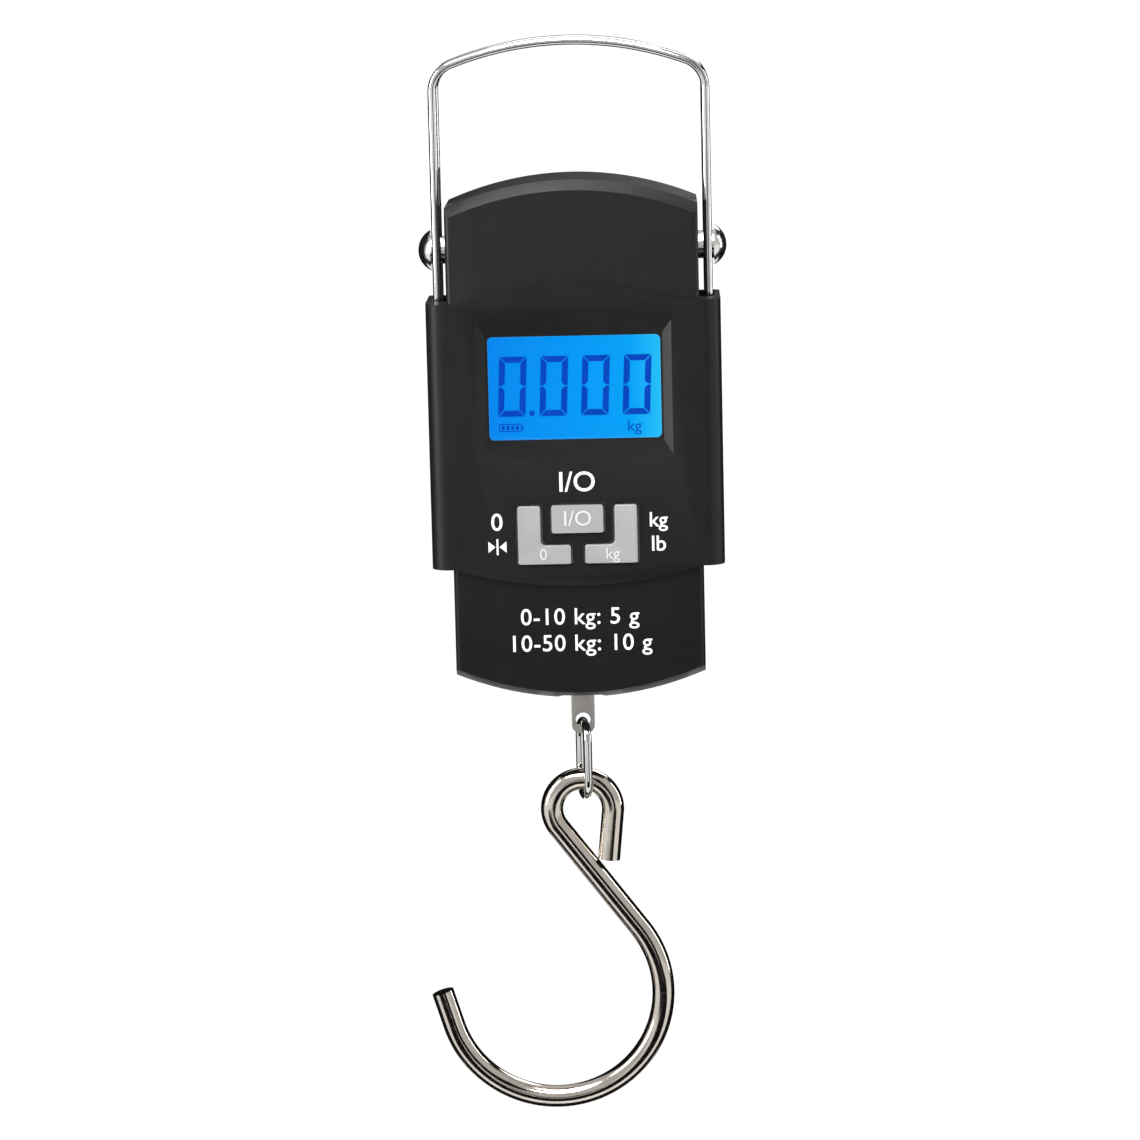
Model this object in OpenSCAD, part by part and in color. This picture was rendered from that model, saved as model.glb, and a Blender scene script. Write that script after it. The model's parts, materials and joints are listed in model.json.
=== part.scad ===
// Digital fish scale: a battery hanging scale with a sliding wire handle and an S-hook.
// Frame: X to the right, Z up, the display faces -Y. The origin is midway between the
// two wires at the top of the handle, and the load line runs straight down from it.
// Everything below is drawn from the axis of the two side pins, then lowered by pin_drop.

/* [Casing] */
// Height from the side pins to the top of the casing
top_rise = 15.1; // [14:0.1:16]
// Depth from the side pins to the bottom of the casing
bottom_drop = 95.2; // [94.4:0.2:97]
// Half the width of the casing above and below the band
body_half = 26.5; // [26.4:0.1:26.8]
// Distance of the casing's front face ahead of the load line
body_front = 12.2; // [12:0.1:12.4]
// Distance of the casing's back face behind the load line
body_back = 13.2; // [13.2:0.1:14]
// Radius of the arched top edge
top_r = 67.5; // [60:0.5:80]
// Radius of the arched bottom edge
bottom_r = 67.5; // [60:0.5:80]
// Bevel along the front of the arched top edge
bevel = 2.1; // [1:0.1:2.4]
// Height and depth of the bevel along the front of the arched bottom edge
bottom_bevel = [1.7, 3.2]; // [1:0.1:4]
// Wall thickness of both shells
wall = 1.6; // [1.4:0.1:1.6]

/* [Band] */
// Half the width of the raised band that holds the display and the keys
band_half = 31; // [31:0.1:31.6]
// Distance of the band's front face ahead of the load line
band_front = 13.2; // [13.2:0.1:13.6]
// Drop from the side pins to the band's shoulders
band_top = 10.3; // [10:0.1:11]
// Drop from the side pins to the foot of the band's sides
band_foot = 66.6; // [66:0.1:67]
// Rounding of the band's vertical edges
band_r = 3.75; // [3:0.25:4]
// Distance of the back of the band's side wings behind the load line
band_back = 7.5; // [7.4:0.1:12]

/* [Display] */
// Width of the display window
window_w = 36.2; // [30:0.2:37]
// Height of the display window
window_h = 21.8; // [18:0.2:22]
// Drop from the side pins to the middle of the window
window_drop = 28.4; // [28:0.1:29]

/* [Keys] */
// Width of the on/off key
on_off_w = 10.9; // [9:0.1:11]
// Height of the on/off key
on_off_h = 5.9; // [5:0.1:6.2]
// Width and height of each L-shaped key
ell_size = [11.1, 12.4]; // [10:0.1:13]
// Width of the upright arm of an L-shaped key
ell_arm_w = 4.8; // [4:0.1:4.8]
// Height of the flat arm of an L-shaped key
ell_arm_h = 4; // [3.8:0.1:4.2]
// How far a key travels when pressed
key_travel = 0.6; // [0.3:0.1:0.6]

/* [Handle] */
// Depth of the side-pin axis below the top of the handle
pin_drop = 43.6; // [42:0.2:46]
// Half the distance between the handle's legs
leg_half = 28.6; // [28.5:0.1:28.6]
// Radius of the handle wire
wire_r = 0.92; // [0.8:0.02:0.95]
// Half the distance between the front and the rear wire
run_half = 4.5; // [4.4:0.1:4.6]
// Radius of the arched crown
crown_r = 70; // [56:1:80]
// Radius of the two upper corners
corner_r = 6; // [4:0.5:7]
// Drop from the side pins to the centres of the lower bends
bend_drop = 9.6; // [9:0.1:10]
// Radius of the side pins' shanks
shank_r = 3; // [2.8:0.1:3]

/* [Hook] */
// Radius of the hook wire
hook_r = 2.43; // [2.2:0.01:2.45]
// Bend radius of the hook's eye
eye_r = 6.6; // [6.4:0.1:7]
// Bend radius of the hook's bowl
bowl_r = 23.4; // [22:0.2:25]
// Place of the bowl's centre, to the side and down from the eye's centre
bowl_at = [-6.7, -40.9];
// Sideways place of the eye's centre, as the hook's balance leaves it
eye_x = -0.6; // [-0.8:0.1:0]
// Drop from the side pins to the top of the hook's eye
eye_drop = 114.9; // [114.9:0.05:115]
// Drop from the side pins to the hole in the eye strap
hole_drop = 101.9; // [101.5:0.1:102]
// Radius of the hole in the eye strap
hole_r = 1.6; // [1.5:0.1:1.6]
// Bend radius of the link's two ends
link_bend = 4; // [4:0.1:4.2]
// Turn of the link about the load line
link_turn = 13; // [0:1:15]

/* [Hidden] */
$fn = 48;

// Casing
edge_r = 1.2;                      // rounding of the casing's vertical edges
back_bevel = 0.8;
inner_front = -body_front + wall;
inner_back = body_back - wall;
tunnel_x = [body_half + 0.1, leg_half + 1.3];
tunnel_half = run_half + wire_r + 0.5;
tunnel_floor = -42.5;
pin_notch_r = shank_r + 0.3;
slot_half = [2.9, 1];              // the slot in the bottom wall for the eye strap
notch_half = [5.6, 4.1];           // the shallow notch around that slot, outside and inside
notch_depth = 0.6;

// Band outline: a crown and a lower bow between straight shoulders
band_crown_r = 70;
band_crown_top = -6.6;
band_fillet_r = 20;
band_bow_r = 91;
band_bow_foot = -70.4;

// Display stack, from the front wall back to the circuit board
recess_floor = -11.9;
recess_inner = -10.8;
lens_front = -11.75;
flange_y = [-10.6, -10];
flange_half = [19.3, 12];
glass_y = [-9.9, -8.3];
backlight_y = [-8.2, -6.6];
board_y = [-6.5, -5.3];
glass_half = [20, 13];
recess_half_w = 20.5;
recess_z = [-42.7, -14.1];         // straight corners of the recess, below the pins
recess_arch_r = 92;

// Keys, with the pocket behind the front wall that takes their flanges
key_front = -14;
key_gap = 0.4;
key_flange = 0.85;
key_corner = 0.5;
flange_front = -11.5;
flange_back = -10.7;
pocket_y = -11.6;
dome_top = -8.6;
stem_end = dome_top - key_travel - 0.15;
on_off_z = -59;
ell_z = -65.6;
ell_x = 12.6;
dome_at = [[0, -56], [-9.9, -62.5], [9.9, -62.5]];

// Screws and posts
case_screw_at = [[-22.9, 7.5], [22.9, 7.5], [-22.9, -60], [22.9, -60]];
case_screw_r = 1.05;
case_head_r = 2.2;
case_seat = 9.2;                   // where the heads of the case screws rest
board_post_at = [[-17.5, -12.2], [17.5, -12.2], [-17.5, -46], [17.5, -46], [-17.5, -65.3],
    [17.5, -65.3]];
board_screw_r = 0.8;

// Load path
bar_half = [24.7, 3, 3];
spigot_r = 1.75;
cell_half = [11, 4.8];
cell_z = [-45, -3];
cell_screw_x = 5.5;
strap_half = [2.5, 0.6];
strap_z = [-104.8, -37.4];
strap_pin_z = -41;
strap_pin_r = 1.5;
head_r = 4.35;
head_h = 2.7;
head_x = leg_half + wire_r + 0.4;

// Batteries, lying across the back of the lower casing
battery_r = 5.15;
battery_half = 22.25;
battery_y = 6.4;
battery_z = [-72.2, -82.9];
tray_half = 25;
tray_z = [-89, -66.1];
tray_y = [0.8, 11.5];
tray_wall = 0.6;
cover_half = 20;
cover_top = -65.7;
cover_y = 12;

// Hook: the straight shank is the cross tangent of the eye and the bowl
eye_z = -eye_drop - eye_r;
bowl_z = eye_z + bowl_at[1];
bowl_dir = atan2(bowl_at[1], bowl_at[0]);
bowl_gap = norm(bowl_at);
shank_dir = bowl_dir + asin((eye_r + bowl_r) / bowl_gap);
tip_angle = -163;
tip_length = 7.8;
leg_angle = -5.7;
leg_length = 10.6;
link_r = 0.92;
link_top = -hole_drop - 0.35;
link_foot = -eye_drop - 3.7;
lap = 0.2;                         // overlap that joins two stretches of one wire
lap_angle = 2;
lap_step = 0.01;

// ---- Shapes shared by the parts -------------------------------------------------

module from_pins() {
    translate([0, 0, -pin_drop]) children();
}

module block(low, high) {
    translate(low) cube(high - low);
}

module rod_x(x, r) {
    translate([x[0], 0, 0]) rotate([0, 90, 0]) cylinder(h = x[1] - x[0], r = r);
}

module rod_y(y, r) {
    translate([0, y[1], 0]) rotate([90, 0, 0]) cylinder(h = y[1] - y[0], r = r);
}

module rod_z(z, r) {
    translate([0, 0, z[0]]) cylinder(h = z[1] - z[0], r = r);
}

// A plate drawn in X and Z, and a column drawn in X and Y
module plate(y) {
    translate([0, y[1], 0]) rotate([90, 0, 0]) linear_extrude(y[1] - y[0]) children();
}

module column(z) {
    translate([0, 0, z[0]]) linear_extrude(z[1] - z[0]) children();
}

module rounded(low, high, r) {
    translate(low + [r, 0]) square(high - low - [2 * r, 0]);
    translate(low + [0, r]) square(high - low - [0, 2 * r]);
    for (x = [low[0] + r, high[0] - r], y = [low[1] + r, high[1] - r])
        translate([x, y]) circle(r);
}

// A bend of round wire in the XZ plane or in the YZ plane, from angle a to angle b
module bend(plane, centre, radius, a, b, r) {
    translate(centre)
        rotate([90, 0, plane == "yz" ? 90 : 0])
            rotate([0, 0, a])
                rotate_extrude(angle = b - a, $fn = 120)
                    translate([radius, 0]) circle(r, $fn = 32);
}

// The same, a hair thinner and lapping into what it joins at both ends
module lapped_bend(plane, centre, radius, a, b, r) {
    bend(plane, centre, radius, a - lap_angle, b + lap_angle, r - lap_step);
}

// A straight wire in the XZ plane, starting at p in the direction of angle a. It is a
// hair thinner than the bends, and laps into the bend at its start, or at both its ends.
module straight(p, a, length, r, both = false) {
    translate(p) rotate([0, 90 - a, 0]) translate([0, 0, -lap])
        cylinder(h = length + (both ? 2 : 1) * lap, r = r - lap_step, $fn = 32);
}

// A round cap of radius cap_r and height h, standing on the XY plane
module cap(cap_r, h) {
    ball_r = (cap_r * cap_r + h * h) / (2 * h);
    rotate_extrude($fn = 120) intersection() {
        translate([0, h - ball_r]) circle(ball_r, $fn = 240);
        square([cap_r + 1, h + 1]);
    }
}

function on_circle(c, radius, a) = [c[0] + radius * cos(a), 0, c[1] + radius * sin(a)];

// ---- Casing ---------------------------------------------------------------------

// An arched end of the casing: a large disc whose front rim has a bevel of the given
// height and depth
module arched_end(radius, cut, inset) {
    front = body_front - inset;
    back = -(body_back - inset);
    r = radius - inset;
    rotate([90, 0, 0])
        rotate_extrude($fn = 240)
            polygon([[0, back], [r - back_bevel, back], [r, back + back_bevel],
                [r, front - cut[1]], [r - cut[0], front], [0, front]]);
}

module body_block(inset) {
    corner = max(edge_r - inset, 0.4);
    intersection() {
        column([-bottom_drop - 1, top_rise + 1])
            rounded([-body_half + inset, -body_front + inset],
                [body_half - inset, body_back - inset], corner);
        translate([0, 0, top_rise - top_r]) arched_end(top_r, [bevel, bevel], inset);
        translate([0, 0, bottom_r - bottom_drop]) arched_end(bottom_r, bottom_bevel, inset);
    }
}

module band_outline() {
    crown_z = band_crown_top - band_crown_r;
    fillet_z = band_fillet_r - band_top;
    fillet_x = sqrt(pow(band_crown_r + band_fillet_r, 2) - pow(fillet_z - crown_z, 2));
    share = band_crown_r / (band_crown_r + band_fillet_r);
    square_z = [-band_foot, -band_top];
    translate([-band_half, square_z[0]]) square([2 * band_half, square_z[1] - square_z[0]]);
    intersection() {
        translate([0, crown_z]) circle(band_crown_r, $fn = 240);
        translate([-body_half, -band_top - 1]) square([2 * body_half, 8]);
    }
    difference() {
        for (side = [-1, 1])
            polygon([[0, -band_top - 1], [side * fillet_x, -band_top - 1],
                [side * fillet_x, -band_top],
                [side * fillet_x * share, crown_z + (fillet_z - crown_z) * share],
                [0, crown_z + (fillet_z - crown_z) * share]]);
        for (side = [-1, 1])
            translate([side * fillet_x, fillet_z]) circle(band_fillet_r, $fn = 120);
    }
    intersection() {
        translate([0, band_bow_foot + band_bow_r]) circle(band_bow_r, $fn = 240);
        translate([-body_half + 0.6, band_bow_foot - 1]) square([2 * body_half - 1.2, 8]);
    }
}

module band_block() {
    intersection() {
        column([band_bow_foot - 1, band_crown_top + 1]) intersection() {
            rounded([-band_half, -band_front], [band_half, band_back + 10], band_r);
            rounded([-band_half, -band_front - 10], [band_half, band_back], edge_r);
        }
        plate([-band_front - 1, body_back + 1]) band_outline();
    }
}

module casing_solid() {
    difference() {
        union() {
            body_block(0);
            band_block();
        }
        body_block(wall);
        for (side = [-1, 1])
            mirror([side < 0 ? 1 : 0, 0, 0])
                block([tunnel_x[0], -tunnel_half, tunnel_floor],
                    [tunnel_x[1], tunnel_half, 0]);
        rod_x([-body_half - 1, body_half + 1], pin_notch_r);
        block([-slot_half[0], -slot_half[1], -bottom_drop - 1],
            [slot_half[0], slot_half[1], -bottom_drop + 5]);
        plate([-body_front - 1, run_half])
            polygon([[-notch_half[0], -bottom_drop - 1], [notch_half[0], -bottom_drop - 1],
                [notch_half[0], -bottom_drop], [notch_half[1], -bottom_drop + notch_depth],
                [-notch_half[1], -bottom_drop + notch_depth], [-notch_half[0], -bottom_drop]]);
    }
}

// The sloping surround that leads down to the window
module recess() {
    half = [window_w / 2 + 0.5, window_h / 2 + 0.5];
    hull() {
        plate([-band_front - 0.1, -band_front])
            intersection() {
                translate([-recess_half_w, recess_z[0] - 3])
                    square([2 * recess_half_w, recess_z[1] - recess_z[0] + 6]);
                translate([0, recess_z[1] + 2.1 - recess_arch_r])
                    circle(recess_arch_r, $fn = 160);
                translate([0, recess_z[0] - 2.4 + recess_arch_r])
                    circle(recess_arch_r, $fn = 160);
            }
        plate([recess_floor - 0.1, recess_floor])
            translate([-half[0], -window_drop - half[1]]) square(2 * half);
    }
}

module window_outline(grow) {
    half = [window_w / 2 + grow, window_h / 2 + grow];
    translate([0, -window_drop]) rounded(-half, half, 1 + max(grow, 0));
}

module on_off_outline(grow) {
    rounded([-on_off_w / 2 - grow, on_off_z - grow],
        [on_off_w / 2 + grow, on_off_z + on_off_h + grow], key_corner);
}

// The left-hand L: an upright arm outside and a flat arm along the foot
module ell_outline(grow) {
    low = [-ell_x - grow, ell_z - grow];
    arm_x = -ell_x + ell_arm_w + grow;
    arm_z = ell_z + ell_arm_h + grow;
    fillet = 1;
    rounded(low, [arm_x, ell_z + ell_size[1] + grow], key_corner);
    rounded(low, [-ell_x + ell_size[0] + grow, arm_z], key_corner);
    difference() {
        translate([arm_x - fillet, arm_z - fillet]) square(2 * fillet);
        translate([arm_x + fillet, arm_z + fillet]) circle(fillet);
    }
}

module right_ell(grow) {
    mirror([1, 0]) ell_outline(grow);
}

module front_shell() {
    color([0.16, 0.16, 0.17]) from_pins() difference() {
        union() {
            intersection() {
                casing_solid();
                block([-40, -20, -110], [40, 0, 30]);
            }
            for (p = case_screw_at)
                translate([p[0], 0, p[1]]) rod_y([inner_front - 0.4, 0], 2.4);
            for (p = board_post_at)
                translate([p[0], 0, p[1]]) rod_y([inner_front - 0.4, board_y[0]], 1.7);
        }
        recess();
        plate([-band_front, -9]) window_outline(0.05);
        block([-glass_half[0] + 0.2, recess_inner, -window_drop - 12.1],
            [glass_half[0] - 0.2, inner_front + 1, -window_drop + 12.1]);
        block([-16, pocket_y, -67], [16, inner_front + 1, -50.5]);
        plate([-band_front - 1, -9]) {
            on_off_outline(key_gap);
            ell_outline(key_gap);
            right_ell(key_gap);
        }
        for (p = case_screw_at)
            translate([p[0], 0, p[1]]) rod_y([-8, 1], case_screw_r + 0.05);
        for (p = board_post_at)
            translate([p[0], 0, p[1]]) rod_y([-10, board_y[0] + 1], board_screw_r + 0.05);
    }
}

module rear_shell() {
    color([0.16, 0.16, 0.17]) from_pins() difference() {
        union() {
            intersection() {
                casing_solid();
                block([-40, 0, -110], [40, 20, 30]);
            }
            for (p = case_screw_at)
                intersection() {
                    translate([p[0], 0, p[1]]) rod_y([0, inner_back + 0.4], 3.4);
                    body_block(0.2);
                }
        }
        for (p = case_screw_at)
            translate([p[0], 0, p[1]]) {
                rod_y([-1, body_back + 1], case_screw_r + 0.4);
                rod_y([case_seat, body_back + 1], case_head_r + 0.3);
            }
        block([-cover_half - 0.2, cover_y - 0.1, -bottom_drop - 1],
            [cover_half + 0.2, body_back + 1, cover_top + 0.2]);
        block([-cover_half - 0.2, inner_back - 1, -bottom_drop + 4],
            [cover_half + 0.2, cover_y, cover_top - 1]);
        block([-cover_half - 1.1, cover_y - 0.05, -bottom_drop - 1],
            [cover_half + 1.1, cover_y + 0.5, cover_top + 0.2]);
    }
}

module battery_cover() {
    grip_count = 5;
    grip_pitch = 1.6;
    color([0.15, 0.15, 0.16]) from_pins() difference() {
        intersection() {
            union() {
                block([-cover_half, cover_y, -bottom_drop - 1],
                    [cover_half, body_back, cover_top]);
                block([-cover_half - 0.95, cover_y + 0.05, -bottom_drop - 1],
                    [cover_half + 0.95, cover_y + 0.4, cover_top]);
            }
            translate([0, 0, bottom_r - bottom_drop]) arched_end(bottom_r, bottom_bevel, 0);
        }
        for (i = [0 : grip_count - 1])
            translate([0, 0, cover_top - 5 - i * grip_pitch])
                block([-7, body_back - 0.4, -0.4], [7, body_back + 1, 0.4]);
    }
}

module case_screws() {
    color("silver") from_pins()
        for (p = case_screw_at)
            translate([p[0], 0, p[1]]) difference() {
                union() {
                    rod_y([-7.5, case_seat], case_screw_r);
                    rod_y([case_seat, case_seat + 1.7], case_head_r);
                }
                block([-1.5, case_seat + 1, -0.25], [1.5, case_seat + 3, 0.25]);
                block([-0.25, case_seat + 1, -1.5], [0.25, case_seat + 3, 1.5]);
            }
}

// ---- Display --------------------------------------------------------------------

module display_window() {
    color([0.75, 0.88, 0.95, 0.4]) from_pins() {
        plate([lens_front, flange_y[0]]) window_outline(0);
        plate(flange_y)
            translate([0, -window_drop]) square(2 * flange_half, center = true);
    }
}

module window_gasket() {
    color([0.1, 0.1, 0.1]) from_pins()
        plate([recess_inner, flange_y[0]]) difference() {
            translate([0, -window_drop]) square(2 * flange_half, center = true);
            window_outline(0.1);
        }
}

module lcd_glass() {
    color([0.2, 0.55, 0.95]) from_pins()
        plate(glass_y) translate([0, -window_drop]) square(2 * glass_half, center = true);
}

module lcd_frame() {
    rim = glass_half + [1.6, 1.4];
    color([0.92, 0.92, 0.9]) from_pins()
        plate([glass_y[0], board_y[0]]) translate([0, -window_drop]) difference() {
            square(2 * rim, center = true);
            square(2 * glass_half + [0.2, 0.2], center = true);
        }
}

module contact_strips() {
    color([0.85, 0.45, 0.5]) from_pins()
        for (side = [-1, 1])
            translate([0, 0, -window_drop + side * 12])
                block([-17, glass_y[1], -0.75], [17, board_y[0], 0.75]);
}

module backlight_panel() {
    color([0.55, 0.8, 1]) from_pins()
        plate(backlight_y) translate([0, -window_drop]) square([37.5, 22], center = true);
}

module backlight_led() {
    color([0.95, 0.95, 0.85]) from_pins()
        translate([19.4, 0, -window_drop])
            block([-0.5, backlight_y[0] + 0.2, -1.7], [0.5, backlight_y[1], 1.7]);
}

// ---- Electronics ----------------------------------------------------------------

module circuit_board() {
    color([0.1, 0.42, 0.2]) from_pins() difference() {
        block([-20, board_y[0], -67.5], [20, board_y[1], -10.6]);
        for (p = board_post_at)
            translate([p[0], 0, p[1]]) rod_y([-8, -4], 1);
    }
}

module board_screws() {
    color("silver") from_pins()
        for (p = board_post_at)
            translate([p[0], 0, p[1]]) {
                rod_y([-9.8, board_y[1]], board_screw_r);
                rod_y([board_y[1], board_y[1] + 1.1], 1.6);
            }
}

module processor_chip() {
    color([0.08, 0.08, 0.09]) from_pins()
        translate([0, board_y[1], -53]) rotate([-90, 0, 0]) cap(4.5, 1.6);
}

module board_components() {
    back = board_y[1];
    color([0.75, 0.7, 0.55]) from_pins() {
        for (x = [-12, -9, -6, 6, 9, 12])
            block([x - 0.9, back, -60.6], [x + 0.9, back + 0.8, -59.4]);
        for (x = [-10, -5, 5, 10])
            block([x - 0.6, back, -64.6], [x + 0.6, back + 0.6, -62.4]);
        translate([10.2, back, -53]) rod_y([0, 3.4], 2);
        block([-14, back, -54.5], [-9, back + 1.6, -51.5]);
    }
}

module key_mat() {
    sheet_y = [-7.6, board_y[0]];
    color([0.75, 0.75, 0.75]) from_pins() {
        block([-13.5, sheet_y[0], -66.6], [13.5, sheet_y[1], -51.5]);
        for (p = dome_at)
            translate([p[0], sheet_y[0], p[1]]) rotate([90, 0, 0])
                cylinder(h = sheet_y[0] - dome_top, r1 = 2.2, r2 = 1.4);
    }
}

// ---- Keys -----------------------------------------------------------------------

module key_stem(at) {
    translate([at[0], 0, at[1]]) rod_y([flange_back, stem_end], 1.2);
}

module on_off_key() {
    color([0.74, 0.75, 0.76]) from_pins() {
        plate([key_front, flange_front]) on_off_outline(0);
        plate([flange_front, flange_back]) on_off_outline(key_flange);
        key_stem(dome_at[0]);
    }
}

module tare_key() {
    color([0.74, 0.75, 0.76]) from_pins() {
        plate([key_front, flange_front]) ell_outline(0);
        plate([flange_front, flange_back]) ell_outline(key_flange);
        key_stem(dome_at[1]);
    }
}

module unit_key() {
    color([0.74, 0.75, 0.76]) from_pins() {
        plate([key_front, flange_front]) right_ell(0);
        plate([flange_front, flange_back]) right_ell(key_flange);
        key_stem(dome_at[2]);
    }
}

// ---- Load path ------------------------------------------------------------------

module cross_bar() {
    color([0.55, 0.56, 0.58]) from_pins() difference() {
        block(-bar_half, bar_half);
        for (side = [-1, 1])
            translate([side * cell_screw_x, 0, 0]) rod_z([-5, 5], 1.6);
        rod_x([-bar_half[0] - 1, -bar_half[0] + 8], spigot_r);
        rod_x([bar_half[0] - 8, bar_half[0] + 1], spigot_r);
    }
}

// A rivet-headed pin: spigot in the bar, shank between the wires, domed head outside
module side_pin() {
    color([0.82, 0.82, 0.83]) {
        rod_x([bar_half[0] - 7.5, bar_half[0]], spigot_r - 0.03);
        rod_x([bar_half[0], head_x], shank_r);
        translate([head_x, 0, 0]) rotate([0, 90, 0]) cap(head_r, head_h);
    }
}

module right_side_pin() {
    from_pins() side_pin();
}

module left_side_pin() {
    from_pins() mirror([1, 0, 0]) side_pin();
}

// An S-shaped bending beam: two side slots and a pair of joined holes
module load_cell() {
    slot = 1.2;
    color([0.8, 0.81, 0.83]) from_pins() difference() {
        block([-cell_half[0], -cell_half[1], cell_z[0]], [cell_half[0], cell_half[1], cell_z[1]]);
        block([-cell_half[0] - 1, -10, -13.6], [6, 10, -13.6 + slot]);
        block([-6, -10, -35.8], [cell_half[0] + 1, 10, -35.8 + slot]);
        for (z = [-20.5, -28])
            translate([0, 0, z]) rod_y([-10, 10], 3);
        block([-slot / 2, -10, -28], [slot / 2, 10, -20.5]);
        for (side = [-1, 1])
            translate([side * cell_screw_x, 0, 0]) rod_z([-11, 0], 1.5);
        block([-strap_half[0] - 0.3, -strap_half[1] - 0.1, -50],
            [strap_half[0] + 0.3, strap_half[1] + 0.1, strap_z[1] + 0.4]);
        translate([0, 0, strap_pin_z]) rod_y([-10, 10], strap_pin_r + 0.02);
    }
}

module strain_gauges() {
    color([0.85, 0.6, 0.3]) from_pins()
        for (side = [-1, 1], x = [-1, 1])
            translate([x * 7, side * (cell_half[1] + 0.1), -24])
                cube([3.4, 0.2, 5], center = true);
}

module load_cell_screws() {
    color("silver") from_pins()
        for (side = [-1, 1])
            translate([side * cell_screw_x, 0, 0]) difference() {
                union() {
                    rod_z([-10, bar_half[2]], 1.48);
                    rod_z([bar_half[2], bar_half[2] + 2.4], 2.7);
                }
                translate([0, 0, bar_half[2] + 1]) cylinder(h = 3, r = 1.4, $fn = 6);
            }
}

module eye_strap() {
    color([0.72, 0.73, 0.74]) from_pins()
        plate([-strap_half[1], strap_half[1]]) difference() {
            rounded([-strap_half[0], strap_z[0]], [strap_half[0], strap_z[1]], 1.8);
            translate([0, strap_pin_z]) circle(strap_pin_r + 0.02);
            translate([0, -hole_drop]) circle(hole_r);
        }
}

module strap_pin() {
    color("silver") from_pins()
        translate([0, 0, strap_pin_z]) rod_y([-cell_half[1], cell_half[1]], strap_pin_r);
}

// ---- Batteries ------------------------------------------------------------------

module battery_tray() {
    ends = tray_half - tray_wall;
    color([0.14, 0.14, 0.15]) from_pins() difference() {
        intersection() {
            block([-tray_half, tray_y[0], tray_z[0]], [tray_half, tray_y[1], tray_z[1]]);
            body_block(wall + 0.1);
        }
        block([-ends, tray_y[0] + 0.45, tray_z[0] + tray_wall],
            [ends, tray_y[1] + 1, tray_z[1] - tray_wall]);
    }
}

// side = 1 puts the positive nub at +X
module battery(z, side) {
    translate([0, battery_y, z]) mirror([side < 0 ? 1 : 0, 0, 0]) {
        rod_x([-battery_half, battery_half - 1], battery_r);
        rod_x([battery_half - 1, battery_half], 2.7);
    }
}

module upper_battery() {
    color([0.25, 0.45, 0.3]) from_pins() battery(battery_z[0], 1);
}

module lower_battery() {
    color([0.25, 0.45, 0.3]) from_pins() battery(battery_z[1], -1);
}

// One conical contact spring, swept along its helix with an eight-sided wire
function coil_point(t, turns, r0, r1, h) =
    [h * t, (r0 + (r1 - r0) * t) * cos(360 * turns * t), (r0 + (r1 - r0) * t) * sin(360 * turns * t)];

module coil(turns, r0, r1, h, wire) {
    steps = 14 * turns;
    sides = 8;
    points = [for (i = [0 : steps], k = [0 : sides - 1])
        let (t = i / steps, a = 360 * turns * t, p = coil_point(t, turns, r0, r1, h),
            w = 360 * k / sides)
            p + wire * [sin(w), cos(w) * cos(a), cos(w) * sin(a)]];
    ring = function (i, k) i * sides + (k % sides);
    sides_of = [for (i = [0 : steps - 1], k = [0 : sides - 1])
        [ring(i, k), ring(i + 1, k), ring(i + 1, k + 1), ring(i, k + 1)]];
    caps = [[for (k = [0 : sides - 1]) ring(0, k)],
        [for (k = [sides - 1 : -1 : 0]) ring(steps, k)]];
    polyhedron(points, concat(sides_of, caps));
}

module battery_springs() {
    color("silver") from_pins()
        for (i = [0, 1])
            translate([0, battery_y, battery_z[i]]) mirror([i == 1 ? 1 : 0, 0, 0])
                translate([-battery_half - 1.65, 0, 0]) coil(2.5, 3.6, 2.4, 1.3, 0.25);
}

module battery_contacts() {
    color([0.8, 0.78, 0.7]) from_pins()
        for (i = [0, 1])
            translate([0, battery_y, battery_z[i]]) mirror([i == 1 ? 1 : 0, 0, 0]) {
                block([-tray_half + tray_wall + 0.02, -4, -4], [-battery_half - 1.95, 4, 4]);
                block([battery_half + 0.05, -3, -3], [tray_half - tray_wall - 0.02, 3, 3]);
            }
}

module battery_leads() {
    lead_r = 0.5;
    color([0.75, 0.12, 0.1]) from_pins()
        for (x = [-15, 15]) {
            translate([x, 2.6, 0]) rod_z([tray_z[1], -63], lead_r);
            translate([x, 0, -63]) rod_y([board_y[1], 2.6], lead_r);
            translate([x, 2.6, -63]) sphere(lead_r, $fn = 32);
        }
}

module gauge_leads() {
    lead_r = 0.3;
    lead_x = 13;
    color([0.85, 0.8, 0.2]) from_pins()
        for (i = [0 : 3]) {
            y = -2.4 + 1.2 * i;
            z = -48.5 - 1.2 * i;
            translate([0, y, -24]) rod_x([cell_half[0], lead_x], lead_r);
            translate([lead_x, y, -24]) sphere(lead_r, $fn = 32);
            translate([lead_x, y, 0]) rod_z([z, -24], lead_r);
            translate([lead_x, y, z]) sphere(lead_r, $fn = 32);
            translate([lead_x, 0, z]) rod_y([board_y[1], y], lead_r);
        }
}

// ---- Handle, link and hook ------------------------------------------------------

// One closed wire: two arched runs joined by a U-bend at the foot of each leg
module handle() {
    crown_z = pin_drop - crown_r;
    corner_x = leg_half - corner_r;
    corner_z = crown_z + sqrt(pow(crown_r - corner_r, 2) - corner_x * corner_x);
    joint_angle = atan2(corner_z - crown_z, corner_x);
    color([0.8, 0.81, 0.82]) from_pins() {
        for (y = [-run_half, run_half]) {
            bend("xz", [0, y, crown_z], crown_r, joint_angle, 180 - joint_angle, wire_r);
            lapped_bend("xz", [corner_x, y, corner_z], corner_r, 0, joint_angle, wire_r);
            lapped_bend("xz", [-corner_x, y, corner_z], corner_r, 180 - joint_angle, 180,
                wire_r);
            for (x = [-leg_half, leg_half])
                translate([x, y, 0]) rod_z([-bend_drop, corner_z], wire_r, $fn = 32);
        }
        for (x = [-leg_half, leg_half])
            lapped_bend("yz", [x, 0, -bend_drop], run_half, 180, 360, wire_r);
    }
}

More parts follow.
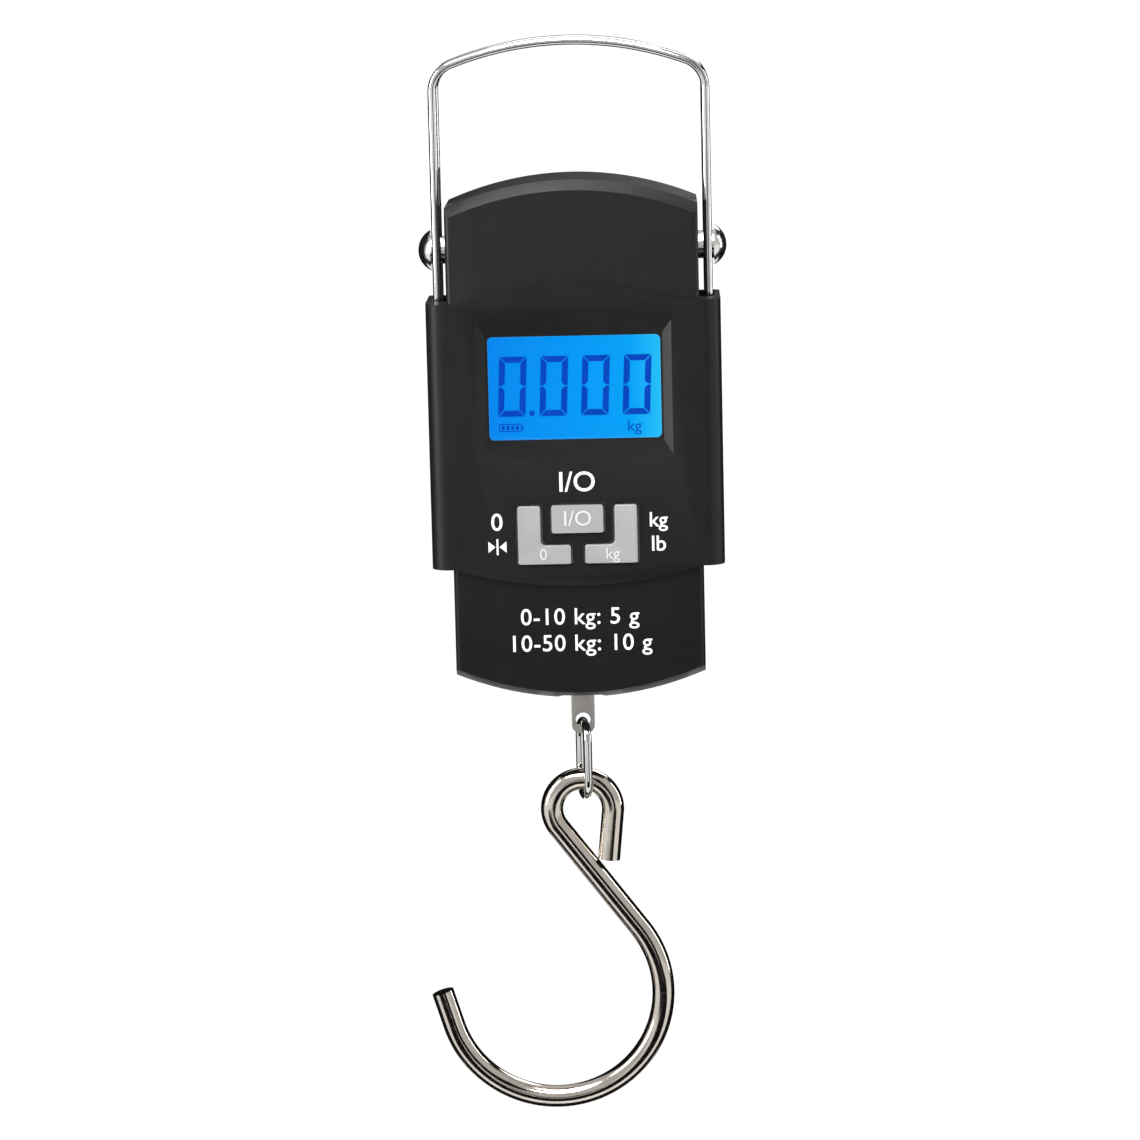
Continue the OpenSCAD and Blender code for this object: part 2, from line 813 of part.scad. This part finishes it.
module link() {
    top = link_top - link_bend;
    foot = link_foot + link_bend;
    color([0.78, 0.79, 0.8]) from_pins() rotate([0, 0, link_turn]) {
        bend("yz", [0, 0, top], link_bend, 0, 180, link_r);
        bend("yz", [0, 0, foot], link_bend, 180, 360, link_r);
        for (y = [-link_bend, link_bend])
            translate([0, y, 0]) rod_z([foot, top], link_r, $fn = 32);
    }
}

module s_hook() {
    eye = [eye_x, eye_z];
    bowl = [eye_x + bowl_at[0], bowl_z];
    shank_length = sqrt(bowl_gap * bowl_gap - pow(eye_r + bowl_r, 2));
    color([0.7, 0.68, 0.64]) from_pins() {
        bend("xz", [eye_x, 0, eye_z], eye_r, leg_angle, shank_dir + 270, hook_r);
        straight(on_circle(eye, eye_r, leg_angle), leg_angle - 90, leg_length, hook_r);
        straight(on_circle(eye, eye_r, shank_dir - 90), shank_dir, shank_length, hook_r, true);
        bend("xz", [bowl[0], 0, bowl_z], bowl_r, tip_angle, shank_dir + 90, hook_r);
        straight(on_circle(bowl, bowl_r, tip_angle), tip_angle - 90, tip_length, hook_r);
    }
}

front_shell();
rear_shell();
battery_cover();
case_screws();
display_window();
window_gasket();
lcd_glass();
lcd_frame();
contact_strips();
backlight_panel();
backlight_led();
circuit_board();
processor_chip();
board_components();
board_screws();
key_mat();
on_off_key();
tare_key();
unit_key();
cross_bar();
left_side_pin();
right_side_pin();
load_cell();
strain_gauges();
load_cell_screws();
gauge_leads();
eye_strap();
strap_pin();
battery_tray();
upper_battery();
lower_battery();
battery_springs();
battery_contacts();
battery_leads();
handle();
link();
s_hook();
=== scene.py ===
"""Looks of the digital fish scale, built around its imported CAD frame."""

import json
import math

import bmesh
import bpy
from mathutils import Matrix, Vector


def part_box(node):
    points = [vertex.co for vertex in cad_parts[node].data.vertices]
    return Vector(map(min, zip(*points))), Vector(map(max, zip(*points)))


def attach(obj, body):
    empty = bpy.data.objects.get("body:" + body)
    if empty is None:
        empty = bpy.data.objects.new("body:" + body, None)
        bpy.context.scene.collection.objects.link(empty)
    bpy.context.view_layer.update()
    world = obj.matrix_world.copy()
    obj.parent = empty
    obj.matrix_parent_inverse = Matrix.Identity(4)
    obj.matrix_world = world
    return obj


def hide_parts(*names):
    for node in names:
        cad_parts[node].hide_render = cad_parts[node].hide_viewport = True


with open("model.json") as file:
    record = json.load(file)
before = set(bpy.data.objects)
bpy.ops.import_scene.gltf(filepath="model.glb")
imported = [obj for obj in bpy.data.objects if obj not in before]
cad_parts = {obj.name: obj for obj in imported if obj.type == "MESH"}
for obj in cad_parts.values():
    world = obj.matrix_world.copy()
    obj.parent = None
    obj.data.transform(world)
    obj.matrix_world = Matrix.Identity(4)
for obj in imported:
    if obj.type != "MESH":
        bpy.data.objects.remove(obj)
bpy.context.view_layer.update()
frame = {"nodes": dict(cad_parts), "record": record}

MM = 0.001
BAND_RISE = 1.0 * MM                # how far the band stands out from the casing's face
INK = 0.03 * MM                     # thickness of the printing
SEGMENT_INK = 0.025 * MM            # thickness of the display's segments
SMOOTH_ANGLE = 40                   # sharpest angle, in degrees, that is still shaded smooth
NOISE_SPAN = (0.3, 0.7)             # the part of a noise's range that the looks use

# Radius in millimetres of the rounded edges, for the nodes that get them
EDGE_RADII = {"front_shell": 0.35, "rear_shell": 0.35, "battery_cover": 0.2,
              "on_off_key": 0.3, "tare_key": 0.3, "unit_key": 0.3, "eye_strap": 0.2,
              "display_window": 0.08}

# ---- Places taken from the frame ------------------------------------------------

band_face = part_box("front_shell")[0].y
body_face = band_face + BAND_RISE
glass_low, glass_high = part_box("lcd_glass")
window_z = (glass_low.z + glass_high.z) / 2
power_low, power_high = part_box("on_off_key")
tare_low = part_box("tare_key")[0]
unit_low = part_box("unit_key")[0]
hook_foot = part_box("s_hook")[0].z
pin_z = sum(corner.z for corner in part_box("right_side_pin")) / 2


# ---- Camera ---------------------------------------------------------------------

def make_camera():
    """Looks a little down on the front through a long lens, rolled slightly."""
    pitch, roll, yaw = math.radians(9.5), math.radians(1.35), math.radians(1.2)
    aim = Vector((-2.1 * MM, 0, -112.8 * MM))
    distance = 910.4 * MM
    ahead = Vector((-math.sin(yaw), math.cos(yaw), 0))
    level_right = Vector((math.cos(yaw), math.sin(yaw), 0))
    forward = ahead * math.cos(pitch) - Vector((0, 0, math.sin(pitch)))
    level_up = ahead * math.sin(pitch) + Vector((0, 0, math.cos(pitch)))
    right = level_right * math.cos(roll) - level_up * math.sin(roll)
    up = right.cross(forward)
    data = bpy.data.cameras.new("camera")
    data.lens = 134.2
    data.sensor_width = 36
    data.clip_start, data.clip_end = 0.05, 200
    camera = bpy.data.objects.new("camera", data)
    camera.matrix_world = Matrix((right, up, -forward)).transposed().to_4x4()
    camera.location = aim - forward * distance
    bpy.context.scene.collection.objects.link(camera)
    bpy.context.scene.camera = camera


# ---- Materials ------------------------------------------------------------------

class Shader:
    """A Principled material with short helpers for procedural inputs in object space."""

    def __init__(self, name):
        self.material = bpy.data.materials.new(name)
        self.material.use_nodes = True
        self.tree = self.material.node_tree
        self.surface = self.tree.nodes["Principled BSDF"]
        self.place = self.tree.nodes.new("ShaderNodeTexCoord").outputs["Object"]

    def set(self, **values):
        for name, value in values.items():
            self.surface.inputs[name.replace("_", " ")].default_value = value

    def link(self, output, socket):
        self.tree.links.new(output, socket)

    def stretched(self, scale):
        mapping = self.tree.nodes.new("ShaderNodeMapping")
        mapping.inputs["Scale"].default_value = scale
        self.link(self.place, mapping.inputs["Vector"])
        return mapping.outputs["Vector"]

    def noise(self, scale, detail=3.0, stretch=(1, 1, 1)):
        node = self.tree.nodes.new("ShaderNodeTexNoise")
        node.inputs["Scale"].default_value = scale
        node.inputs["Detail"].default_value = detail
        self.link(self.stretched(stretch), node.inputs["Vector"])
        return node.outputs["Fac"]

    def ramp(self, factor, low, high, start=NOISE_SPAN[0], end=NOISE_SPAN[1]):
        node = self.tree.nodes.new("ShaderNodeValToRGB")
        node.color_ramp.elements[0].position = start
        node.color_ramp.elements[1].position = end
        node.color_ramp.elements[0].color = (*low, 1)
        node.color_ramp.elements[1].color = (*high, 1)
        self.link(factor, node.inputs["Fac"])
        return node.outputs["Color"]

    def colour(self, factor, low, high, start=NOISE_SPAN[0], end=NOISE_SPAN[1]):
        self.link(self.ramp(factor, low, high, start, end), self.surface.inputs["Base Color"])

    def roughness(self, factor, low, high):
        node = self.tree.nodes.new("ShaderNodeMapRange")
        node.inputs["From Min"].default_value = NOISE_SPAN[0]
        node.inputs["From Max"].default_value = NOISE_SPAN[1]
        node.inputs["To Min"].default_value = low
        node.inputs["To Max"].default_value = high
        self.link(factor, node.inputs["Value"])
        self.link(node.outputs["Result"], self.surface.inputs["Roughness"])

    def bump(self, factor, depth):
        node = self.tree.nodes.new("ShaderNodeBump")
        node.inputs["Strength"].default_value = 1.0
        node.inputs["Distance"].default_value = depth
        self.link(factor, node.inputs["Height"])
        self.link(node.outputs["Normal"], self.surface.inputs["Normal"])


def shade(colour, share):
    return tuple(min(1.0, c * share) for c in colour)


def moulded(name, colour, rough=0.5, grain=0.35 * MM, depth=0.012 * MM, drift=0.12):
    """Moulded plastic or rubber: slight colour drift and a fine etched grain."""
    patches, wear, spread = 90, 400, 0.025
    s = Shader(name)
    s.colour(s.noise(patches, 4), shade(colour, 1 - drift), shade(colour, 1 + drift))
    s.roughness(s.noise(wear, 3), rough - spread, rough + spread)
    s.bump(s.noise(1 / grain, 2), depth)
    return s.material


def metal(name, colour, rough, drift=0.08, lines=(1, 1, 1)):
    """Metal with faint tarnish and fine lines, drawn out along the axis where lines is small."""
    tarnish, line_scale, depth = 220, 900, 0.003 * MM
    s = Shader(name)
    s.set(Metallic=1.0)
    s.colour(s.noise(tarnish, 5), shade(colour, 1 - drift), shade(colour, 1 + drift / 2))
    s.roughness(s.noise(line_scale, 4, lines), rough * 0.8, rough * 1.3)
    s.bump(s.noise(line_scale, 3, lines), depth)
    return s.material


def clear_window():
    s = Shader("clear_acrylic")
    s.set(Transmission_Weight=1.0, IOR=1.49, Specular_IOR_Level=0.2,
          Base_Color=(0.97, 0.99, 1, 1))
    s.roughness(s.noise(300, 3), 0.01, 0.04)
    return s.material


def lit_display():
    """Blue backlight, brightest towards the lamp at its right-hand edge."""
    s = Shader("lit_display")
    split = s.tree.nodes.new("ShaderNodeSeparateXYZ")
    s.link(s.place, split.inputs["Vector"])
    across = s.tree.nodes.new("ShaderNodeMapRange")
    across.inputs["From Min"].default_value = glass_low.x
    across.inputs["From Max"].default_value = glass_high.x
    s.link(split.outputs["X"], across.inputs["Value"])
    far, middle, lamp = (0.0, 0.25, 0.89), (0.0, 0.38, 0.98), (0.02, 0.58, 0.96)
    glow = s.ramp(across.outputs["Result"], far, lamp, 0.0, 0.97)
    glow.node.color_ramp.elements.new(0.8).color = (*middle, 1)
    s.link(glow, s.surface.inputs["Emission Color"])
    s.set(Emission_Strength=1.0, Base_Color=(0.0, 0.02, 0.06, 1), Roughness=0.3,
          Specular_IOR_Level=0.1)
    return s.material


def lcd_ink():
    s = Shader("lcd_segments")
    glow = s.ramp(s.noise(600, 2), (0.0, 0.05, 0.5), (0.0, 0.065, 0.58))
    s.link(glow, s.surface.inputs["Emission Color"])
    s.set(Emission_Strength=1.0, Base_Color=(0.0, 0.01, 0.05, 1), Roughness=0.5,
          Specular_IOR_Level=0.1)
    return s.material


def white_print():
    s = Shader("white_print")
    s.colour(s.noise(900, 4), (0.74, 0.74, 0.74), (0.88, 0.88, 0.88))
    s.roughness(s.noise(900, 2), 0.4, 0.55)
    return s.material


def circuit_green():
    s = Shader("solder_mask")
    tracks = s.noise(260, 0, (1, 1, 6))
    s.colour(tracks, (0.008, 0.11, 0.035), (0.02, 0.2, 0.07), 0.48, 0.52)
    s.set(Roughness=0.3)
    s.bump(tracks, 0.02 * MM)
    return s.material


def make_materials():
    black = moulded("black_abs", (0.0055, 0.0054, 0.0056), rough=0.4)
    black.node_tree.nodes["Principled BSDF"].inputs["Specular IOR Level"].default_value = 0.28
    return {
        "black_abs": black,
        "steel": metal("zinc_plate", (0.62, 0.62, 0.63), 0.3),
        "window": clear_window(),
        "rubber_black": moulded("black_foam", (0.03, 0.03, 0.03), 0.85, 0.2 * MM, 0.05 * MM),
        "lcd": lit_display(),
        "white_plastic": moulded("white_plastic", (0.8, 0.8, 0.78), 0.4),
        "rubber_pink": moulded("connector_rubber", (0.6, 0.25, 0.3), 0.7),
        "backlight": moulded("light_guide", (0.55, 0.75, 0.95), 0.15),
        "green_board": circuit_green(),
        "epoxy": moulded("epoxy_drop", (0.012, 0.012, 0.012), 0.2, 2 * MM, 0.05 * MM),
        "component": moulded("ceramic_parts", (0.45, 0.36, 0.24), 0.45),
        "rubber_grey": moulded("silicone_mat", (0.45, 0.45, 0.45), 0.6),
        "key_grey": moulded("key_grey", (0.28, 0.28, 0.282), 0.32, 0.3 * MM, 0.006 * MM, 0.05),
        "dull_steel": metal("drawn_bar", (0.42, 0.42, 0.43), 0.42, 0.15, (0.05, 1, 1)),
        "nickel": metal("nickel_plate", (0.72, 0.71, 0.69), 0.16),
        "strap_nickel": metal("strap_nickel", (0.6, 0.57, 0.53), 0.3, 0.15, (1, 1, 0.05)),
        "alloy": metal("machined_alloy", (0.72, 0.73, 0.75), 0.35, 0.06, (0.05, 1, 1)),
        "gauge_film": moulded("gauge_film", (0.55, 0.25, 0.05), 0.3),
        "lead_yellow": moulded("yellow_insulation", (0.7, 0.55, 0.04), 0.45),
        "lead_red": moulded("red_insulation", (0.5, 0.02, 0.02), 0.45),
        "battery_sleeve": metal("cell_sleeve", (0.06, 0.3, 0.14), 0.25, 0.1),
        "polished_wire": metal("polished_wire", (0.62, 0.62, 0.61), 0.05, 0.06, (1, 1, 0.03)),
        "hook_nickel": metal("hook_nickel", (0.57, 0.525, 0.47), 0.11, 0.12),
        # The key marks' lighter grey than key_grey is a painted highlight on the raised strokes,
        # not a colour of their own
        "key_mark_painted_highlight": moulded("key_mark_painted_highlight", (0.52, 0.52, 0.52), 0.3, 0.3 * MM, 0.004 * MM, 0.05),
        "print": white_print(),
        "ink": lcd_ink(),
    }


# ---- Mesh helpers ---------------------------------------------------------------

def piece_from(bm, name, material, body, smooth=None):
    """Turns a bmesh into a piece that rides on a body, flat-shaded unless smooth gives an angle."""
    mesh = bpy.data.meshes.new(name)
    bmesh.ops.recalc_face_normals(bm, faces=bm.faces)
    bm.to_mesh(mesh)
    bm.free()
    mesh.materials.append(material)
    if smooth is not None:
        mesh.polygons.foreach_set("use_smooth", [True] * len(mesh.polygons))
        mesh.set_sharp_from_angle(angle=math.radians(smooth))
    piece = bpy.data.objects.new(name, mesh)
    bpy.context.scene.collection.objects.link(piece)
    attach(piece, body)
    return piece


def refined(node, body, material, radius, smooth):
    """Stands for a CAD node with the same shape, welded, and with its edges rounded."""
    weld, flat_angle, edge_angle = 0.002 * MM, math.radians(0.4), math.radians(32)
    bm = bmesh.new()
    bm.from_mesh(frame["nodes"][node].data)
    bmesh.ops.remove_doubles(bm, verts=bm.verts, dist=weld)
    bmesh.ops.dissolve_limit(bm, angle_limit=flat_angle, verts=bm.verts, edges=bm.edges)
    piece = piece_from(bm, node + "_finished", material, body, smooth)
    bevel = piece.modifiers.new("rounded_edges", "BEVEL")
    bevel.width = radius
    bevel.segments = 3
    bevel.limit_method = "ANGLE"
    bevel.angle_limit = edge_angle
    bevel.use_clamp_overlap = True
    bevel.harden_normals = True
    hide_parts(node)


def extruded(outlines, y, thickness, name, material, body):
    """One piece of flat prisms on outlines of (x, z) points, from y back by the thickness."""
    bm = bmesh.new()
    for outline in outlines:
        front = [bm.verts.new((x, y, z)) for x, z in outline]
        back = [bm.verts.new((x, y + thickness, z)) for x, z in outline]
        bm.faces.new(front)
        bm.faces.new(back[::-1])
        count = len(outline)
        for i in range(count):
            bm.faces.new((front[i], back[i], back[(i + 1) % count], front[(i + 1) % count]))
    piece_from(bm, name, material, body)


# ---- Display --------------------------------------------------------------------

def zero_digit(middle, foot, width, height):
    """The six lit segments of a slanted zero, mitred where they meet."""
    bar, gap, slant = 1.3 * MM, 0.13 * MM, 0.045
    half_w, half_h = width / 2, height / 2
    side = [(half_w, half_h - gap), (half_w, gap), (half_w - bar / 2, gap),
            (half_w - bar, gap + bar / 2), (half_w - bar, half_h - bar - gap)]
    cross = [(half_w - gap, half_h), (gap - half_w, half_h),
             (bar + gap - half_w, half_h - bar), (half_w - bar - gap, half_h - bar)]
    bars = [[(x * turn, z * flip) for x, z in side] for turn in (-1, 1) for flip in (-1, 1)]
    bars += [[(x, z * flip) for x, z in cross] for flip in (-1, 1)]
    return [[(middle + x + (z + half_h) * slant, foot + half_h + z) for x, z in outline]
            for outline in bars]


def rectangle(x0, z0, x1, z1):
    return [(x0, z0), (x1, z0), (x1, z1), (x0, z1)]


def disc(x, z, radius, sides=24):
    return [(x + radius * math.cos(2 * math.pi * i / sides),
             z + radius * math.sin(2 * math.pi * i / sides)) for i in range(sides)]


def battery_mark(left, foot):
    """A battery's outline with its terminal and four bars, its lower left corner as given."""
    width, height, line = 4.8 * MM, 1.7 * MM, 0.2 * MM
    right, top = left + width, foot + height
    outlines = [rectangle(left, foot, right, foot + line),
                rectangle(left, top - line, right, top),
                rectangle(left, foot + line, left + line, top - line),
                rectangle(right - line, foot + line, right, top - line),
                rectangle(right, foot + 0.5 * MM, right + 0.35 * MM, foot + 1.2 * MM)]
    for i in range(4):
        x = left + 0.55 * MM + i * 1.0 * MM
        outlines.append(rectangle(x, foot + 0.4 * MM, x + 0.6 * MM, foot + 1.3 * MM))
    return outlines


def make_digits(materials):
    """0.000, a battery mark and a unit mark on the display's front face."""
    width, height, pitch = 5.8 * MM, 12.7 * MM, 8.75 * MM
    first, foot = -13.4 * MM, window_z - 6.1 * MM
    outlines = []
    for i in range(4):
        outlines += zero_digit(first + i * pitch, foot, width, height)
    outlines.append(disc(first + 4.3 * MM, foot + 0.65 * MM, 0.6 * MM))
    outlines += battery_mark(-16.1 * MM, window_z - 9.3 * MM)
    y = glass_low.y - 0.03 * MM
    extruded(outlines, y, SEGMENT_INK, "lcd_digits", materials["ink"], "casing")
    lettering("kg", (12.4 * MM, window_z - 8.6 * MM), 3.4 * MM, y, SEGMENT_INK, "lcd_unit",
              materials["ink"], "casing")


# ---- Printing -------------------------------------------------------------------

def lettering(text, at, size, y, thickness, name, material, body, bold=0.0,
              spacing=1.0):
    """Generic numerals or unit marks as closed prisms, from y back by the thickness."""
    curve = bpy.data.curves.new(name, "FONT")
    curve.body = text
    curve.size = size
    curve.align_x = curve.align_y = "CENTER"
    curve.extrude = thickness / 2
    curve.offset = bold
    curve.space_character = spacing
    curve.resolution_u = 4
    holder = bpy.data.objects.new(name + "_outline", curve)
    bpy.context.scene.collection.objects.link(holder)
    holder.matrix_world = (Matrix.Translation((at[0], y + thickness / 2, at[1]))
                           @ Matrix.Rotation(math.radians(90), 4, "X"))
    bpy.context.view_layer.update()
    graph = bpy.context.evaluated_depsgraph_get()
    mesh = holder.evaluated_get(graph).to_mesh()
    bm = bmesh.new()
    bm.from_mesh(mesh)
    bm.transform(holder.matrix_world)
    bmesh.ops.remove_doubles(bm, verts=bm.verts, dist=0.001 * MM)
    holder.evaluated_get(graph).to_mesh_clear()
    bpy.data.objects.remove(holder)
    piece_from(bm, name, material, body)


def make_printing(materials):
    """Generic marks beside the keys and two plain range lines, with no words or names."""
    white, slot = materials["print"], "white_plastic"
    face, side_x = band_face - INK, 17.0 * MM
    upper_z, lower_z = pin_z - 56.7 * MM, pin_z - 61.8 * MM
    for text, x, z, size, name in (
            ("I/O", 0, pin_z - 48.4 * MM, 6.0, "power_mark"),
            ("0", -side_x, upper_z, 5.2, "zero_mark"),
            ("kg", side_x, upper_z, 4.4, "kilogram_mark"),
            ("lb", side_x, lower_z, 4.6, "pound_mark")):
        lettering(text, (x, z), size * MM, face, INK, name, white, "casing",
                  bold=0.04 * MM)
    wide, near, tall, line = 1.9 * MM, 0.45 * MM, 1.2 * MM, 0.2 * MM
    arrows = [[(side * wide - side_x, lower_z + tall), (side * near - side_x, lower_z),
               (side * wide - side_x, lower_z - tall)] for side in (-1, 1)]
    arrows.append(rectangle(-side_x - line, lower_z - 1.7 * MM, -side_x + line,
                            lower_z + 1.7 * MM))
    extruded(arrows, face, INK, "tare_arrows", white, "casing")
    for text, drop, name in (("0-10 kg: 5 g", 77.3, "range_low"),
                             ("10-50 kg: 10 g", 83.0, "range_high")):
        lettering(text, (0, pin_z - drop * MM), 5.0 * MM, body_face - INK, INK, name, white,
                  "casing", bold=0.03 * MM, spacing=1.06)


def make_key_marks(materials):
    """Raised strokes on the key tops, a lighter grey than the keys as a painted highlight on the
    strokes.
    """
    rise, arm_x, arm_rise = 0.1 * MM, 7.3 * MM, 2.85 * MM
    for body, text, x, z, size in (
            ("on_off_key", "I/O", 0, (power_low.z + power_high.z) / 2, 4.6),
            ("tare_key", "0", -arm_x, tare_low.z + arm_rise, 3.4),
            ("unit_key", "kg", arm_x, unit_low.z + arm_rise, 3.4)):
        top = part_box(body)[0].y
        lettering(text, (x, z), size * MM, top - rise, rise, body + "_mark",
                  materials["key_mark_painted_highlight"], body, bold=0.03 * MM)


# ---- Surroundings ---------------------------------------------------------------

def make_floor():
    """A pale sheet far below the hook, too wide for its edges to show."""
    half_width, drop = 80, 1.5
    s = Shader("pale_floor")
    s.colour(s.noise(3, 3), (0.9, 0.9, 0.9), (0.93, 0.93, 0.93))
    s.set(Roughness=0.9)
    bm = bmesh.new()
    bmesh.ops.create_grid(bm, x_segments=1, y_segments=1, size=half_width)
    bm.transform(Matrix.Translation((0, 0, hook_foot - drop)))
    mesh = bpy.data.meshes.new("floor")
    bm.to_mesh(mesh)
    bm.free()
    mesh.materials.append(s.material)
    floor = bpy.data.objects.new("floor", mesh)
    bpy.context.scene.collection.objects.link(floor)


def area_light(name, place, size, power):
    """A rectangular lamp that faces the middle of the scale."""
    aim = (0, 0, -0.11)
    data = bpy.data.lights.new(name, "AREA")
    data.shape = "RECTANGLE"
    data.size, data.size_y = size
    data.energy = power
    light = bpy.data.objects.new(name, data)
    light.location = place
    direction = Vector(aim) - Vector(place)
    light.rotation_mode = "QUATERNION"
    light.rotation_quaternion = direction.to_track_quat("-Z", "Y")
    bpy.context.scene.collection.objects.link(light)


def dark_card(name, place, size, aim=(0, 0, -0.12)):
    """A black card that only reflections show, for the metal and the window to mirror."""
    s = Shader(name)
    s.colour(s.noise(2, 2), (0.004, 0.004, 0.004), (0.008, 0.008, 0.008))
    s.set(Roughness=1.0, Specular_IOR_Level=0.0)
    bm = bmesh.new()
    bmesh.ops.create_grid(bm, x_segments=1, y_segments=1, size=0.5)
    bm.transform(Matrix.Diagonal((*size, 1, 1)))
    mesh = bpy.data.meshes.new(name)
    bm.to_mesh(mesh)
    bm.free()
    mesh.materials.append(s.material)
    card = bpy.data.objects.new(name, mesh)
    facing = (Vector(aim) - Vector(place)).to_track_quat("Z", "Y")
    card.matrix_world = Matrix.Translation(place) @ facing.to_matrix().to_4x4()
    card.visible_camera = card.visible_diffuse = card.visible_shadow = False
    bpy.context.scene.collection.objects.link(card)


def make_lights():
    world = bpy.data.worlds.new("studio")
    world.use_nodes = True
    world.node_tree.nodes["Background"].inputs["Color"].default_value = (1, 1, 1, 1)
    world.node_tree.nodes["Background"].inputs["Strength"].default_value = 0.7
    bpy.context.scene.world = world
    data = bpy.data.lights.new("ceiling", "SUN")
    data.energy = 1.8
    data.angle = math.radians(35)
    ceiling = bpy.data.objects.new("ceiling", data)
    ceiling.rotation_euler = (math.radians(30), 0, math.radians(-25))
    bpy.context.scene.collection.objects.link(ceiling)
    area_light("softbox_left", (-1.1, -0.55, 0.3), (0.35, 1.0), 13)
    area_light("softbox_right", (1.2, 0.15, 0.15), (0.12, 0.9), 3)
    area_light("softbox_top", (0, -0.2, 1.1), (0.7, 0.5), 4.5)
    area_light("softbox_rear", (0.5, 0.9, 0.7), (0.5, 0.5), 5)
    area_light("strip_front", (0, -0.9, 0.75), (0.6, 0.08), 5)
    dark_card("card_front", (0.68, -1.88, -0.12), (0.7, 2.6))
    dark_card("card_front_low", (0, -0.95, -0.68), (1.6, 0.6))
    dark_card("card_window", (-0.04, -2.0, -0.31), (0.42, 0.3))
    dark_card("card_back", (0, 2.0, 0.3), (1.3, 0.9))
    for side, name in ((-1, "card_left"), (1, "card_right")):
        dark_card(name, (side * 1.6, 1.2, -0.12), (3.2, 4.0))
    dark_card("card_low", (0, 0.05, hook_foot - 0.2), (1.4, 0.26), aim=(0, 0.05, 0))


# ---- Assembly -------------------------------------------------------------------

def finish_nodes(materials):
    """Gives every CAD node its material, and rounds the edges of the nodes in EDGE_RADII."""
    record = frame["record"]
    slots = {part["node"]: part["material_slot"] for part in record["subparts"]}
    bodies = {node: body for body, nodes in record["behaviour"]["bodies"].items()
              for node in nodes}
    for node, slot in slots.items():
        if node in EDGE_RADII:
            look = "strap_nickel" if node == "eye_strap" else slot
            smooth = None if node == "battery_cover" else SMOOTH_ANGLE
            refined(node, bodies[node], materials[look], EDGE_RADII[node] * MM, smooth)
            continue
        mesh = frame["nodes"][node].data
        mesh.materials.clear()
        mesh.materials.append(materials[slot])


make_camera()
materials = make_materials()
finish_nodes(materials)
make_digits(materials)
make_printing(materials)
make_key_marks(materials)
make_floor()
make_lights()
bpy.context.scene.view_settings.view_transform = "Standard"
